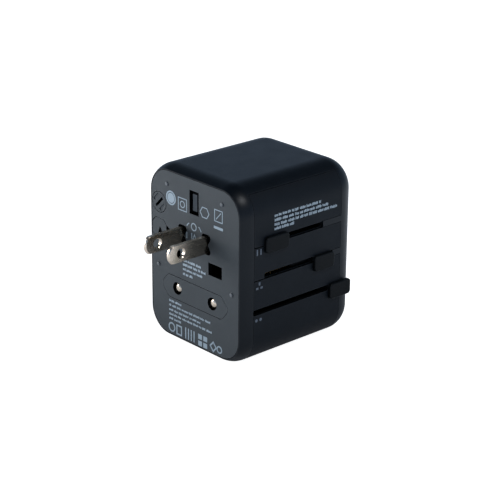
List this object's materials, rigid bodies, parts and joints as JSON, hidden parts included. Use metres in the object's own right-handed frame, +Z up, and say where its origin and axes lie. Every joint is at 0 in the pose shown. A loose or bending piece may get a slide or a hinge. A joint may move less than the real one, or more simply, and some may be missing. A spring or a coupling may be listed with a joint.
{
  "type": "universal travel adapter",
  "caption": "Pocket mains adapter: a rounded upright block with sliding plug pins at the front, slider knobs on one side, and a universal socket with charging ports at the rear.",
  "frame": {"origin": "centre of the flat underside that the adapter stands on", "axes": "+Z up; -Y is the way the plug face looks; +X is the side with the sliders"},
  "size_m": [0.0525, 0.0717, 0.0666],
  "materials": {
    "shell_black": "satin textured",
    "panel_black": "satin",
    "knob_black": "satin",
    "face_grey": "matte, fine grain",
    "socket_black": "matte",
    "inner_plastic": "matte",
    "earth_pin_plastic": "satin",
    "nickel": "nickel plated, satin",
    "brass": "bright",
    "zinc": "zinc plated",
    "fuse_ceramic": "matte",
    "board_green": "lacquered",
    "port_steel": "drawn steel",
    "port_plastic": "matte",
    "clear_plastic": "frosted",
    "ferrite": "matte",
    "winding_tape": "tape",
    "capacitor_can": "sleeved can",
    "chip_black": "matte"
  },
  "bodies": {
    "housing": {"housing_sleeve": "shell_black", "front_plate": "face_grey", "rear_cover": "face_grey", "socket_carrier": "socket_black", "side_panel_top": "panel_black", "side_panel_upper": "panel_black", "side_panel_lower": "panel_black", "side_panel_bottom": "panel_black", "line_bus": "brass", "neutral_bus": "brass", "line_socket_contact": "brass", "neutral_socket_contact": "brass", "cover_screws": "zinc", "board_screws": "zinc", "fuse_holder": "inner_plastic", "fuse_tube": "fuse_ceramic", "fuse_end_caps": "nickel", "fuse_contacts": "brass", "spare_fuse_guide": "inner_plastic", "usb_board": "board_green", "usb_a_shell": "port_steel", "usb_a_tongue": "port_plastic", "usb_c_shell": "port_steel", "usb_c_tongue": "port_plastic", "light_pipe": "clear_plastic", "transformer_core": "ferrite", "transformer_winding": "winding_tape", "capacitors": "capacitor_can", "board_chips": "chip_black"},
    "us_plug": {"us_carriage": "inner_plastic", "us_slider_knob": "knob_black", "us_wipers": "brass"},
    "us_blade_left_turn": {"us_blade_left": "nickel", "us_rotor_left": "inner_plastic"},
    "us_blade_right_turn": {"us_blade_right": "nickel", "us_rotor_right": "inner_plastic"},
    "uk_plug": {"uk_carriage": "inner_plastic", "uk_slider_knob": "knob_black", "uk_line_pin": "nickel", "uk_neutral_pin": "nickel", "uk_earth_pin": "earth_pin_plastic", "uk_wipers": "brass"},
    "eu_block_slide_body": {"eu_block": "face_grey"},
    "eu_plug": {"eu_pin_carrier": "inner_plastic", "eu_pins": "nickel", "eu_pin_sleeves": "inner_plastic", "eu_slider_knob": "knob_black", "eu_wipers": "brass"},
    "fuse_cap_body": {"fuse_cap": "face_grey"},
    "spare_drawer_body": {"spare_fuse_drawer": "face_grey", "spare_fuse_tube": "fuse_ceramic", "spare_fuse_end_caps": "nickel"}
  },
  "joints": [
    {"name": "us_slide", "type": "slide", "parent": "housing", "child": "us_plug", "axis": [0, 1, 0], "range_m": [0, 0.0184]},
    {"name": "us_left_twist", "type": "hinge", "parent": "us_plug", "child": "us_blade_left_turn", "pos_m": [-0.00635, -0.0225, 0.04256], "axis": [0, 1, 0], "range_deg": [-30, 30]},
    {"name": "us_right_twist", "type": "hinge", "parent": "us_plug", "child": "us_blade_right_turn", "pos_m": [0.00635, -0.0225, 0.04256], "axis": [0, 1, 0], "range_deg": [-30, 30]},
    {"name": "uk_slide", "type": "slide", "parent": "housing", "child": "uk_plug", "axis": [0, -1, 0], "range_m": [0, 0.0235]},
    {"name": "eu_block_slide", "type": "slide", "parent": "housing", "child": "eu_block_slide_body", "axis": [0, -1, 0], "range_m": [0, 0.0164]},
    {"name": "eu_pin_slide", "type": "slide", "parent": "eu_block_slide_body", "child": "eu_plug", "axis": [0, -1, 0], "range_m": [0, 0.0199]},
    {"name": "fuse_cap_turn", "type": "hinge", "parent": "housing", "child": "fuse_cap_body", "pos_m": [-0.0192, -0.0262, 0.0516], "axis": [0, -1, 0], "range_deg": [0, 90]},
    {"name": "spare_drawer_slide", "type": "slide", "parent": "housing", "child": "spare_drawer_body", "axis": [0, -1, 0], "range_m": [0, 0.022]}
  ]
}
